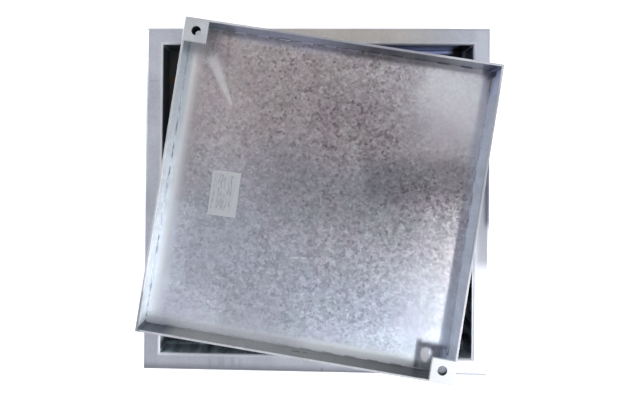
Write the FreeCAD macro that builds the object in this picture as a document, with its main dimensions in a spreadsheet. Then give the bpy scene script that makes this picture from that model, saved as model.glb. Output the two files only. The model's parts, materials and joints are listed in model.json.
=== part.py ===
import FreeCAD, Part
import os

import Sketcher

# A recessed paving cover in galvanised steel, 600 mm class, as it lies open: the tray
# rests askew on top of its frame, turned a few degrees, instead of down on the seat ledge.
#
# The frame is four rails folded from sheet, mitred at the corners and welded behind. Each
# has a short lip turned down at its outer edge, a flat top face, a wall and a seat ledge.
# The tray is four flat bars on edge round a floor sheet, stitch welded along its foot, with
# a plate drilled for the lifting key let into two opposite corners.
#
# Frame of reference: origin at the middle of the frame's opening, on the plane that the
# frame stands on, +Z up, +Y to the back. Millimetres and degrees.

SIZES = [
    ("frame_opening", 600),      # clear side between the frame's walls
    ("face_width", 33),          # frame's top face, from the opening to the lip's outside
    ("frame_sheet", 3),          # sheet that the frame is folded from
    ("fold_radius", 2),          # inside radius of its folds
    ("lip_depth", 12),           # height of the lip turned down at the outer edge
    ("ledge_width", 20),         # seat ledge, from the wall inwards
    ("seat_gap", 4),             # clearance round the tray once it is seated
    ("tray_height", 50),         # height of the tray's bars
    ("bar_thickness", 4),        # thickness of the tray's bars
    ("bar_round", 0.8),          # rounding of the bars' top edges
    ("floor_sheet", 3),          # thickness of the tray's floor
    ("floor_gap", 0.3),          # fit-up gap between the floor sheet and the bars
    ("plate_side", 45),          # side of a corner plate
    ("plate_thickness", 6),      # thickness of a corner plate
    ("plate_round", 1.2),        # rounding of its top edges
    ("plate_corner", 3),         # rounding of its outer corner
    ("plate_hole", 17),          # diameter of the hole through the plate
    ("hole_inset", 24),          # hole's centre from the tray's outer sides
    ("corner_leg", 4),           # leg of the fillet welds up the tray's inside corners
    ("weld_stop", 2),            # how far the open corners' welds stop below the rim
    ("stitch_leg", 2.5),         # leg of the stitch welds along the tray's foot
    ("stitch_length", 24),       # length of one of them
    ("stitch_pitch", 44),        # from one stitch to the next
    ("stitch_margin", 20),       # least distance from a corner to a stitch
    ("cap_leg", 5),              # width of the frame's corner welds on each wall
    ("cap_height", 1.5),         # how far those welds stand proud
    ("flange_weld_width", 6),    # weld along the mitre below the top face
    ("flange_weld_height", 1.5),  # how far it hangs below the sheet
    ("tray_turn", 8.59),         # tray's turn on the frame, clockwise from above
    ("tray_shift_x", 2.8),       # tray's middle from the frame's, to the right
    ("tray_shift_y", 4.6),       # and to the back
    ("label_width", 55),         # sticker on the tray's floor, across
    ("label_length", 87),        # and along
    ("label_thickness", 0.2),    # foil and its adhesive
    ("label_x", -178.5),         # sticker's middle from the tray's middle
    ("label_y", -21.3),
    ("label_turn", 1.4),         # its turn against the tray, anticlockwise
]

# Formulas that several pieces share.
HALF_OPENING = "(Sizes.frame_opening / 2)"
HALF_FRAME = "(Sizes.frame_opening / 2 + Sizes.face_width)"
WALL_BACK = "(Sizes.frame_opening / 2 + Sizes.frame_sheet)"
OUTER_FOLD = "(Sizes.fold_radius + Sizes.frame_sheet)"
FRAME_HEIGHT = "(Sizes.tray_height + Sizes.frame_sheet)"
HALF_TRAY = "(Sizes.frame_opening / 2 - Sizes.seat_gap)"
HALF_INSIDE = "(Sizes.frame_opening / 2 - Sizes.seat_gap - Sizes.bar_thickness)"
PLATE_FOOT = "(Sizes.tray_height - Sizes.plate_thickness)"

# The four sides and corners, in quarter turns from the back side and the back left corner.
SIDES = ["back", "left", "front", "right"]
CORNERS = ["back_left", "front_left", "front_right", "back_right"]
PLATE_CORNERS = ["back_left", "front_right"]

# Two lengths closer than this are the same one.
TINY = 0.001


def make_sheet(doc):
    """The spreadsheet of driving dimensions."""
    sheet = doc.addObject("Spreadsheet::Sheet", "Sizes")
    for row, (alias, number) in enumerate(SIZES, start=1):
        cell = "A%d" % row
        sheet.set(cell, str(number))
        sheet.setAlias(cell, alias)
    doc.recompute()
    return sheet


def make_body(doc, label):
    body = doc.addObject("PartDesign::Body", label)
    body.Label = label
    return body


def turned(angle):
    """A placement at the origin, turned about the upright axis."""
    return FreeCAD.Placement(
        FreeCAD.Vector(), FreeCAD.Rotation(FreeCAD.Vector(0, 0, 1), angle)
    )


def place_on_frame(piece, quarter):
    """Turn a piece of the frame from the back side to its own."""
    piece.Placement = turned(90 * quarter)


def place_on_tray(piece, turn="0", x="0", y="0", z="0"):
    """Put a piece at its place in the tray, which lies askew on the frame."""
    askew = "(Sizes.tray_turn * 1 deg)"
    piece.Placement = turned(0)
    piece.setExpression(
        "Placement.Base.x",
        "Sizes.tray_shift_x + (%s) * cos%s + (%s) * sin%s" % (x, askew, y, askew),
    )
    piece.setExpression(
        "Placement.Base.y",
        "Sizes.tray_shift_y + (%s) * cos%s - (%s) * sin%s" % (y, askew, x, askew),
    )
    piece.setExpression("Placement.Base.z", FRAME_HEIGHT + " + " + z)
    piece.setExpression("Placement.Rotation.Angle", turn + " - Sizes.tray_turn")


def place_by_quarters(piece, quarter):
    """Turn a piece of the tray from the back side to its own."""
    place_on_tray(piece, turn="%d" % (90 * quarter))


def new_sketch(body, plane, lift=None):
    """An empty sketch on one of the body's own origin planes, lifted along its normal."""
    sketch = body.newObject("Sketcher::SketchObject", "Sketch")
    for feature in body.Origin.OriginFeatures:
        if feature.Role == plane:
            sketch.AttachmentSupport = (feature, "")
    sketch.MapMode = "FlatFace"
    if lift:
        sketch.setExpression("AttachmentOffset.Base.z", lift)
    return sketch


def bind_point(sketch, geometry, point, x, y, name):
    """Hold a point at a place from the sketch's origin, by two formulas."""
    for kind, formula in (("DistanceX", x), ("DistanceY", y)):
        number = float(sketch.evalExpression(formula))
        index = sketch.addConstraint(
            Sketcher.Constraint(kind, -1, 1, geometry, point, number)
        )
        sketch.renameConstraint(index, "%s_%s" % (name, kind[-1].lower()))
        sketch.setExpression("Constraints[%d]" % index, formula)


def draw_outline(sketch, corners):
    """A closed outline of straight lines, each corner bound by its pair of formulas."""
    places = [
        FreeCAD.Vector(float(sketch.evalExpression(x)), float(sketch.evalExpression(y)), 0)
        for x, y in corners
    ]
    count = len(corners)
    first = sketch.GeometryCount
    for i in range(count):
        sketch.addGeometry(Part.LineSegment(places[i], places[(i + 1) % count]))
    for i in range(count):
        following = first + (i + 1) % count
        sketch.addConstraint(Sketcher.Constraint("Coincident", first + i, 2, following, 1))
    for i, (x, y) in enumerate(corners):
        bind_point(sketch, first + i, 1, x, y, "corner%d" % (first + i))


def draw_circle(sketch, x, y, diameter):
    """A circle bound by formulas for its centre and its diameter."""
    centre = FreeCAD.Vector(
        float(sketch.evalExpression(x)), float(sketch.evalExpression(y)), 0
    )
    radius = float(sketch.evalExpression(diameter)) / 2
    circle = sketch.addGeometry(Part.Circle(centre, FreeCAD.Vector(0, 0, 1), radius))
    bind_point(sketch, circle, 3, x, y, "centre")
    index = sketch.addConstraint(Sketcher.Constraint("Diameter", circle, 2 * radius))
    sketch.renameConstraint(index, "diameter")
    sketch.setExpression("Constraints[%d]" % index, diameter)


def pad(body, sketch, length, both_ways=False):
    feature = body.newObject("PartDesign::Pad", "Pad")
    feature.Profile = sketch
    feature.setExpression("Length", length)
    if both_ways:
        feature.SideType = "Symmetric"
    return feature


def cut_through(body, sketch):
    """A pocket right through the piece, both ways from its sketch."""
    feature = body.newObject("PartDesign::Pocket", "Pocket")
    feature.Profile = sketch
    feature.SideType = "Symmetric"
    feature.Type = "ThroughAll"
    return feature


def round_edges(body, feature, radius, wanted):
    """Fillet the edges of a feature whose middle wanted() accepts."""
    body.Document.recompute()
    names = [
        "Edge%d" % (i + 1)
        for i, edge in enumerate(feature.Shape.Edges)
        if wanted(edge.CenterOfMass, edge)
    ]
    fillet = body.newObject("PartDesign::Fillet", "Fillet")
    fillet.Base = (feature, names)
    fillet.setExpression("Radius", radius)
    return fillet


def fold_finder(sketch, corners):
    """Tell the long edges that lie on any of a section's corners."""
    places = [
        (float(sketch.evalExpression(y)), float(sketch.evalExpression(z)))
        for y, z in corners
    ]

    def wanted(middle, edge):
        along = abs(edge.tangentAt(edge.FirstParameter).x) > 1 - TINY
        return along and any(
            abs(middle.y - y) < TINY and abs(middle.z - z) < TINY for y, z in places
        )

    return wanted


def make_rail(doc, quarter):
    """One side of the frame: a folded section with mitred ends."""
    body = make_body(doc, "frame_rail_" + SIDES[quarter])
    ledge_edge = HALF_OPENING + " - Sizes.ledge_width"
    under_top = FRAME_HEIGHT + " - Sizes.frame_sheet"
    lip_back = HALF_FRAME + " - Sizes.frame_sheet"
    lip_foot = FRAME_HEIGHT + " - Sizes.lip_depth"
    section = new_sketch(body, "YZ_Plane")
    draw_outline(section, [
        (HALF_FRAME, FRAME_HEIGHT),
        (HALF_OPENING, FRAME_HEIGHT),
        (HALF_OPENING, "Sizes.frame_sheet"),
        (ledge_edge, "Sizes.frame_sheet"),
        (ledge_edge, "0"),
        (WALL_BACK, "0"),
        (WALL_BACK, under_top),
        (lip_back, under_top),
        (lip_back, lip_foot),
        (HALF_FRAME, lip_foot),
    ])
    bar = pad(body, section, "2 * " + HALF_FRAME, both_ways=True)
    inner = fold_finder(section, [
        (HALF_OPENING, "Sizes.frame_sheet"),
        (WALL_BACK, under_top),
        (lip_back, under_top),
    ])
    outer = fold_finder(section, [
        (HALF_FRAME, FRAME_HEIGHT),
        (HALF_OPENING, FRAME_HEIGHT),
        (WALL_BACK, "0"),
    ])
    folded = round_edges(body, bar, "Sizes.fold_radius", inner)
    round_edges(body, folded, OUTER_FOLD, outer)
    near = ledge_edge + " - Sizes.frame_sheet"
    far = HALF_FRAME + " + Sizes.frame_sheet"
    mitres = new_sketch(body, "XY_Plane")
    for hand in ("", "-"):
        draw_outline(mitres, [
            (hand + "(%s)" % near, near),
            (hand + "(%s)" % far, far),
            (hand + "(%s)" % far, near),
        ])
    cut_through(body, mitres)
    place_on_frame(body, quarter)
    return body


def make_frame_corner_weld(doc, quarter):
    """The bead down the outside of the walls' corner, between the folds."""
    body = make_body(doc, "frame_corner_weld_" + CORNERS[quarter])
    bead = new_sketch(body, "XY_Plane", lift=OUTER_FOLD)
    draw_outline(bead, [
        ("-" + WALL_BACK, WALL_BACK + " - Sizes.cap_leg"),
        ("-" + WALL_BACK, WALL_BACK),
        ("-" + WALL_BACK + " + Sizes.cap_leg", WALL_BACK),
        ("-" + WALL_BACK + " - Sizes.cap_height", WALL_BACK + " + Sizes.cap_height"),
    ])
    pad(body, bead, FRAME_HEIGHT + " - 2 * " + OUTER_FOLD)
    place_on_frame(body, quarter)
    return body


def make_frame_flange_weld(doc, quarter):
    """The bead along the mitre, on the underside of the top face."""
    body = make_body(doc, "frame_flange_weld_" + CORNERS[quarter])
    side = "Sizes.flange_weld_width / 2 / sqrt(2)"
    start = "(%s + Sizes.fold_radius + %s)" % (WALL_BACK, side)
    end = "(%s - %s - %s)" % (HALF_FRAME, OUTER_FOLD, side)
    bead = new_sketch(
        body, "XY_Plane", lift=FRAME_HEIGHT + " - Sizes.frame_sheet - Sizes.flange_weld_height"
    )
    draw_outline(bead, [
        ("-" + start + " + " + side, start + " + " + side),
        ("-" + end + " + " + side, end + " + " + side),
        ("-" + end + " - " + side, end + " - " + side),
        ("-" + start + " - " + side, start + " - " + side),
    ])
    pad(body, bead, "Sizes.flange_weld_height")
    place_on_frame(body, quarter)
    return body


def make_bar(doc, quarter):
    """One side of the tray: a flat bar on edge, mitred, cut down where a plate lies on it."""
    body = make_body(doc, "tray_bar_" + SIDES[quarter])
    plan = new_sketch(body, "XY_Plane")
    draw_outline(plan, [
        ("-" + HALF_TRAY, HALF_TRAY),
        (HALF_TRAY, HALF_TRAY),
        (HALF_INSIDE, HALF_INSIDE),
        ("-" + HALF_INSIDE, HALF_INSIDE),
    ])
    bar = pad(body, plan, "Sizes.tray_height")
    rim = fold_finder(plan, [
        (HALF_TRAY, "Sizes.tray_height"),
        (HALF_INSIDE, "Sizes.tray_height"),
    ])
    round_edges(body, bar, "Sizes.bar_round", rim)
    hand = "-" if CORNERS[quarter] in PLATE_CORNERS else ""
    plate_edge = hand + "(%s - Sizes.plate_side)" % HALF_TRAY
    past_end = hand + "(%s + Sizes.bar_thickness)" % HALF_TRAY
    past_top = "Sizes.tray_height + Sizes.plate_thickness"
    notch = new_sketch(body, "XZ_Plane")
    draw_outline(notch, [
        (plate_edge, PLATE_FOOT),
        (past_end, PLATE_FOOT),
        (past_end, past_top),
        (plate_edge, past_top),
    ])
    cut_through(body, notch)
    place_by_quarters(body, quarter)
    return body


def make_floor(doc):
    """The tray's floor sheet, between the bars."""
    body = make_body(doc, "tray_floor")
    side = "(%s - Sizes.floor_gap)" % HALF_INSIDE
    plan = new_sketch(body, "XY_Plane")
    draw_outline(plan, [
        ("-" + side, "-" + side),
        (side, "-" + side),
        (side, side),
        ("-" + side, side),
    ])
    pad(body, plan, "Sizes.floor_sheet")
    place_on_tray(body)
    return body


def make_plate(doc, quarter):
    """A drilled corner plate, flush with the rim and with the bars' outer faces."""
    body = make_body(doc, "corner_plate_" + CORNERS[quarter])
    plate_edge = "(%s - Sizes.plate_side)" % HALF_TRAY
    plan = new_sketch(body, "XY_Plane", lift=PLATE_FOOT)
    draw_outline(plan, [
        ("-" + HALF_TRAY, HALF_TRAY),
        ("-" + HALF_TRAY, plate_edge),
        ("-" + plate_edge, plate_edge),
        ("-" + plate_edge, HALF_TRAY),
    ])
    square = pad(body, plan, "Sizes.plate_thickness")
    outer = float(plan.evalExpression(HALF_TRAY))
    rounded = round_edges(
        body, square, "Sizes.plate_corner",
        lambda middle, edge: abs(middle.x + outer) < TINY and abs(middle.y - outer) < TINY,
    )
    top = float(plan.evalExpression("Sizes.tray_height"))
    round_edges(
        body, rounded, "Sizes.plate_round",
        lambda middle, edge: abs(middle.z - top) < TINY,
    )
    hole = new_sketch(body, "XY_Plane")
    centre = "(%s - Sizes.hole_inset)" % HALF_TRAY
    draw_circle(hole, "-" + centre, centre, "Sizes.plate_hole")
    cut_through(body, hole)
    place_by_quarters(body, quarter)
    return body


def make_tray_corner_weld(doc, quarter):
    """The fillet weld up an inside corner, to the plate or to just below the rim."""
    body = make_body(doc, "tray_corner_weld_" + CORNERS[quarter])
    plated = CORNERS[quarter] in PLATE_CORNERS
    stop = "Sizes.plate_thickness" if plated else "Sizes.weld_stop"
    bead = new_sketch(body, "XY_Plane", lift="Sizes.floor_sheet")
    draw_outline(bead, [
        ("-" + HALF_INSIDE, HALF_INSIDE),
        ("-" + HALF_INSIDE, HALF_INSIDE + " - Sizes.corner_leg"),
        ("-" + HALF_INSIDE + " + Sizes.corner_leg", HALF_INSIDE),
    ])
    pad(body, bead, "Sizes.tray_height - Sizes.floor_sheet - " + stop)
    place_by_quarters(body, quarter)
    return body


def make_stitches(doc, quarter):
    """The row of short fillet welds between the floor sheet and one bar."""
    body = make_body(doc, "stitch_welds_" + SIDES[quarter])
    room = "(2 * %s - Sizes.stitch_length - 2 * Sizes.stitch_margin)" % HALF_INSIDE
    gaps = "floor(%s / Sizes.stitch_pitch)" % room
    run = "Sizes.stitch_pitch * %s" % gaps
    bead = new_sketch(body, "YZ_Plane", lift="-(%s + Sizes.stitch_length) / 2" % run)
    draw_outline(bead, [
        (HALF_INSIDE, "Sizes.floor_sheet"),
        (HALF_INSIDE, "Sizes.floor_sheet + Sizes.stitch_leg"),
        (HALF_INSIDE + " - Sizes.stitch_leg", "Sizes.floor_sheet"),
    ])
    one = pad(body, bead, "Sizes.stitch_length")
    row = body.newObject("PartDesign::LinearPattern", "LinearPattern")
    row.Originals = [one]
    for feature in body.Origin.OriginFeatures:
        if feature.Role == "X_Axis":
            row.Direction = (feature, [""])
    row.setExpression("Length", run)
    row.setExpression("Occurrences", gaps + " + 1")
    body.Tip = row
    place_by_quarters(body, quarter)
    return body


def make_label(doc):
    """The bare sticker on the tray's floor."""
    body = make_body(doc, "floor_label")
    side = "Sizes.label_width / 2"
    end = "Sizes.label_length / 2"
    plan = new_sketch(body, "XY_Plane")
    draw_outline(plan, [
        ("-" + side, "-" + end),
        (side, "-" + end),
        (side, end),
        ("-" + side, end),
    ])
    pad(body, plan, "Sizes.label_thickness")
    place_on_tray(
        body, turn="Sizes.label_turn", x="Sizes.label_x", y="Sizes.label_y", z="Sizes.floor_sheet"
    )
    return body


def check(doc, pieces):
    """Stop on any object that failed and on any piece without one sound shape."""
    for item in doc.Objects:
        if "Invalid" in item.State or "Error" in item.State:
            raise RuntimeError("%s is %s" % (item.Label, item.State))
    for piece in pieces:
        if piece.Shape.isNull() or not piece.Shape.isValid() or not piece.Shape.Solids:
            raise RuntimeError("%s has no valid shape" % piece.Label)


def main():
    doc = FreeCAD.newDocument("recessed_paving_cover")
    make_sheet(doc)
    pieces = []
    for quarter in range(len(SIDES)):
        pieces.append(make_rail(doc, quarter))
        pieces.append(make_frame_corner_weld(doc, quarter))
        pieces.append(make_frame_flange_weld(doc, quarter))
        pieces.append(make_bar(doc, quarter))
        pieces.append(make_tray_corner_weld(doc, quarter))
        pieces.append(make_stitches(doc, quarter))
    for corner in PLATE_CORNERS:
        pieces.append(make_plate(doc, CORNERS.index(corner)))
    pieces.append(make_floor(doc))
    pieces.append(make_label(doc))
    doc.recompute()
    check(doc, pieces)
    os.makedirs("parts", exist_ok=True)
    for piece in pieces:
        piece.Shape.exportStep("parts/%s.step" % piece.Label)
        solids = len(piece.Shape.Solids)
        print("%-32s %2d solid(s) %10.1f mm3" % (piece.Label, solids, piece.Shape.Volume))


main()
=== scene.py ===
"""Looks of the recessed paving cover: zinc, weld beads, sticker, light and camera."""
import json
import math
import random

import bmesh
import bpy
from mathutils import Matrix, Vector


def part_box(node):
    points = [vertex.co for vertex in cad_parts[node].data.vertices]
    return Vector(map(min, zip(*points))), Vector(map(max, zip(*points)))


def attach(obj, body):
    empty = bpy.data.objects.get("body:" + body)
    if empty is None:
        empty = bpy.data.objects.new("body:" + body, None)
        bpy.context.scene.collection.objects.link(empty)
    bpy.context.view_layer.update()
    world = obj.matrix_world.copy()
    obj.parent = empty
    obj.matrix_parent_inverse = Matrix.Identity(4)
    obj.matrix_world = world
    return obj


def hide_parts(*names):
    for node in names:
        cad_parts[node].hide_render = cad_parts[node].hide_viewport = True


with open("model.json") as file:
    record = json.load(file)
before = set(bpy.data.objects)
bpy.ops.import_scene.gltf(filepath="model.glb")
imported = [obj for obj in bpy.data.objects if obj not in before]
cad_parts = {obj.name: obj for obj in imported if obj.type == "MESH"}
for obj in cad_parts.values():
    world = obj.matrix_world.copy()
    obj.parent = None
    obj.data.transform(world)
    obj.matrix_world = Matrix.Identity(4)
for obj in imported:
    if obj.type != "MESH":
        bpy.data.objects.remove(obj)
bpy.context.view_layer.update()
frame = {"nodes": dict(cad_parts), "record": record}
random.seed(27)

MM = 0.001
CORNERS = ("back_left", "front_left", "front_right", "back_right")
SIDES = ("back", "left", "front", "right")

# Camera, as fitted to the corners of the frame and the tray
IMAGE_WIDTH = 640
IMAGE_HEIGHT = 400
FOCAL_PIXELS = 517.5
AXIS_PIXEL = (283.1, 164.2)
CAMERA_PLACE = (-0.0323, 0.0617, 1.055)
CAMERA_TURN = (0.400, 1.778, 0.524)
SENSOR_MM = 36.0


def plan_square(node):
    """Middle and turn about Z of a node with a square plan, read from its corners."""
    corners = [vertex.co for vertex in frame["nodes"][node].data.vertices]
    right = max(corners, key=lambda co: co.x)
    left = min(corners, key=lambda co: co.x)
    back = max(corners, key=lambda co: co.y)
    edge = right - back
    return ((right + left) / 2).xy, math.atan2(edge.y, edge.x)


TRAY_MIDDLE, TRAY_TURN = plan_square("tray_floor")
FLOOR_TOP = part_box("tray_floor")[1].z
RIM_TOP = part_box("tray_bar_left")[1].z
FRAME_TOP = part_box("frame_rail_left")[1].z


def on_tray(x, y, z=0.0):
    """The place of a point that is given along the tray's own sides, from its middle, in metres."""
    cosine, sine = math.cos(TRAY_TURN), math.sin(TRAY_TURN)
    return Vector((
        TRAY_MIDDLE.x + x * cosine - y * sine,
        TRAY_MIDDLE.y + x * sine + y * cosine,
        z,
    ))


def from_tray(place):
    """A place in the frame given along the tray's own sides."""
    cosine, sine = math.cos(TRAY_TURN), math.sin(TRAY_TURN)
    across, along = place.x - TRAY_MIDDLE.x, place.y - TRAY_MIDDLE.y
    return Vector((across * cosine + along * sine, along * cosine - across * sine, place.z))


INWARD = {"back": (0, -1), "left": (1, 0), "front": (0, 1), "right": (-1, 0)}
UP = Vector((0, 0, 1))

# How far the bars' inner faces and the stitches at their feet reach from the tray's middle
STITCH_START = (0.2870, 0.2885)
BAR_INSIDE = (0.2938, 0.2930)
# Dirt in the open joints at the bars' feet
JOINT_DIRT = (0.05, 0.06, 0.08)

# The drilled corners, left (-1) and right (1), along each side from the tray's middle: the hole's
# centre, where the painted shade below the plate starts, and the painted pool of light that the
# hole shows
HOLE_CENTRE = 0.2720
HOLE_RIM = (8.9 * MM, 8.6 * MM)
UNDER_PLATE = (0.262, 0.268)
UNDER_HOLE = {-1: 0.2770, 1: 0.2820}
UNDER_HOLE_RADIUS = {-1: 0.0066, 1: 0.0118}
UNDER_HOLE_BLUR = 0.5 * MM
# Painted shade on the sheet below each plate, and the colour of the painted pools of light
UNDER_PLATE_PAINTED_SHADE = {-1: (0.02, 0.02, 0.025), 1: (0.40, 0.40, 0.42)}
PAINTED_LIGHT_POOL = (0.95, 0.96, 1.0)
HOLE_PAINTED_SHADE = (0.015, 0.015, 0.02)
# The painted oval of light beside the right plate, cast through its hole: its middle on the tray
# and its half axes
PAINTED_OVAL_MIDDLE = (0.2500, -0.2631)
PAINTED_OVAL_HALVES = (9.5 * MM, 15.5 * MM)

# Painted light and shade: slow changes of the floor's tone, in mm along the sides: start, end,
# width at each, times
FLOOR_PAINTED_SHADING = (
    ((75.0, 45.0), (290.0, 85.0), 175.0, 110.0, 0.66),
    ((-40.0, 185.0), (200.0, 150.0), 120.0, 120.0, 0.89),
    ((-110.0, 10.0), (220.0, 0.0), 170.0, 170.0, 0.85),
    ((160.0, 262.0), (330.0, 190.0), 150.0, 150.0, 1.18),
    ((-330.0, -235.0), (-140.0, -250.0), 130.0, 130.0, 1.22),
    ((-195.0, 190.0), (-185.0, 10.0), 130.0, 130.0, 1.15),
    ((-20.0, -255.0), (300.0, -255.0), 120.0, 120.0, 1.12),
    ((258.0, -10.0), (262.0, -225.0), 75.0, 75.0, 0.86),
    ((110.0, -250.0), (215.0, -235.0), 90.0, 90.0, 1.12),
    ((-254.0, -40.0), (-254.0, -225.0), 66.0, 66.0, 1.15),
)
# Marks on the floor and painted light and shade on it, in mm along the sides: start, end, width at
# each, share, colour
FLOOR_MARKS_AND_PAINTED_LIGHT = (
    # Painted shade: a darker strip beside the bright band at the left foot
    ((-261.0, 230.0), (-261.0, -90.0), 14.0, 14.0, 0.20, (0.28, 0.29, 0.28)),
    # Painted light: a bright strip along the front foot, in two parts
    ((-340.0, -281.0), (160.0, -281.0), 30.0, 30.0, 0.38, (0.97, 0.96, 1.0)),
    ((0.0, -281.0), (300.0, -281.0), 30.0, 38.0, 0.92, (0.93, 0.96, 1.0)),
    # Painted light thrown onto the floor by the left bar: a bright band along its foot
    ((-282.0, 290.0), (-282.0, -330.0), 31.0, 31.0, 0.80, (0.95, 0.98, 1.0)),
    # Painted light: a bright streak thrown by the left bar near the left plate
    ((-248.0, 242.0), (-190.0, 148.0), 38.0, 7.0, 0.55, (0.98, 0.97, 1.0)),
    # Painted shade: a brownish patch beside the left plate
    ((-217.0, 292.0), (-213.0, 225.0), 15.0, 12.0, 0.40, (0.30, 0.25, 0.24)),
    # Painted reflection of the back bar along its foot: darker on the right, pale lavender on the
    # left
    ((-60.0, 284.0), (290.0, 284.0), 15.0, 8.0, 0.20, (0.22, 0.20, 0.24)),
    ((0.0, 281.0), (165.0, 279.0), 17.0, 17.0, 0.22, (0.12, 0.11, 0.13)),
    ((-215.0, 280.0), (20.0, 280.0), 22.0, 22.0, 0.30, (0.66, 0.68, 0.82)),
    # Painted shadow of the right plate: an L of shade round the painted oval of light
    ((235.0, -232.0), (237.0, -305.0), 15.0, 15.0, 0.60, (0.10, 0.09, 0.11)),
    ((230.0, -246.0), (300.0, -243.0), 12.0, 12.0, 0.35, (0.10, 0.09, 0.11)),
    ((272.0, -238.0), (276.0, -300.0), 24.0, 24.0, 0.30, (0.12, 0.11, 0.14)),
    ((263.0, -245.0), (267.0, -275.0), 10.0, 10.0, 0.50, (0.14, 0.13, 0.15)),
    ((100.0, 125.0), (172.0, 90.0), 3.0, 2.0, 0.45, (0.20, 0.19, 0.22)),
    ((-30.0, -122.0), (-16.0, -119.0), 4.0, 3.0, 0.7, (1.0, 1.0, 1.0)),
    ((-12.0, -120.0), (-1.0, -117.5), 3.5, 3.0, 0.6, (1.0, 1.0, 1.0)),
)
# Marks and painted light and shade on the bars, in mm: start, end, width, share, colour, lowest and
# highest above the floor
BAR_MARKS_AND_PAINTED_LIGHT = (
    # Painted shade that dims the highlight along the bars' rims
    ((-292.0, 300.0), (-292.0, 40.0), 16.0, 0.45, (0.40, 0.41, 0.44), 41.0, 60.0),
    ((-292.0, -215.0), (-292.0, -330.0), 16.0, 0.80, (0.25, 0.26, 0.28), 41.0, 60.0),
    ((-170.0, 292.0), (200.0, 292.0), 16.0, 0.75, (0.27, 0.28, 0.32), 41.0, 60.0),
    ((292.0, 280.0), (292.0, -100.0), 16.0, 0.80, (0.33, 0.35, 0.40), 41.0, 60.0),
    ((-122.0, 292.0), (-100.0, 292.0), 8.0, 0.9, (0.02, 0.025, 0.05), -5.0, 10.0),
    ((-224.0, 292.0), (-204.0, 292.0), 8.0, 0.6, (0.06, 0.08, 0.10), -5.0, 34.0),
    ((-4.0, -292.0), (14.0, -292.0), 8.0, 0.95, (0.02, 0.02, 0.02), 14.0, 24.0),
    ((17.0, -292.0), (28.0, -292.0), 8.0, 0.9, (0.02, 0.02, 0.02), 14.0, 23.0),
    # Painted highlight: a bluish streak up the right bar near its back corner
    ((292.0, 289.0), (292.0, 238.0), 8.0, 0.5, (0.58, 0.63, 0.95), 14.0, 44.0),
    ((292.0, 300.0), (292.0, 276.0), 8.0, 0.95, (0.03, 0.05, 0.14), -5.0, 26.0),
    ((292.0, 284.0), (292.0, 238.0), 8.0, 0.8, (0.06, 0.08, 0.12), -5.0, 6.0),
    ((292.0, -235.0), (292.0, -258.0), 8.0, 0.85, (0.08, 0.11, 0.14), -5.0, 9.0),
)
# How far a mark on a bar fades at its lowest and its highest, in mm
MARK_BLUR = 5.0
# For the beads along each bar: their tone against the bar's painted light and shade, the colour of
# the sheet that shows in them, and its least share
BEAD_TONES = {
    "left": (0.75, None, 0.0),
    "right": (0.76, (0.24, 0.26, 0.31), 0.0),
    "back": (1.30, (0.20, 0.20, 0.24), 0.22),
    "front": (1.20, (0.38, 0.38, 0.40), 0.25),
}
# Painted light and shade, and marks, on the frame, in mm along its own sides: start, end, width,
# share, colour
FRAME_PAINTED_LIGHT_AND_MARKS = (
    ((318.0, 345.0), (318.0, 120.0), 44.0, 0.50, (0.92, 0.92, 1.0)),
    # Painted shade along the front's outer fold
    ((-400.0, -334.0), (280.0, -334.0), 38.0, 0.64, (0.24, 0.245, 0.28)),
    # Painted shade on the right side beside the tray
    ((322.0, 40.0), (322.0, -130.0), 48.0, 0.75, (0.27, 0.28, 0.31)),
    # Painted shade: a dark strip beside the tray's right bar
    ((330.0, 120.0), (330.0, -55.0), 24.0, 0.85, (0.07, 0.08, 0.12)),
    # Painted light: the outer fold white at the front right
    ((200.0, -333.0), (345.0, -333.0), 10.0, 1.0, (1.0, 1.0, 1.0)),
    ((-327.0, 229.0), (-306.0, 229.0), 5.0, 0.35, (0.40, 0.40, 0.45)),
    ((14.9, -338.0), (14.9, -322.0), 3.0, 0.6, (0.12, 0.12, 0.15)),
)

# The sockets of a mix node that hold colours: its two inputs and its output
MIX_INPUTS = (6, 7)
MIX_OUTPUT = 2


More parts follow.
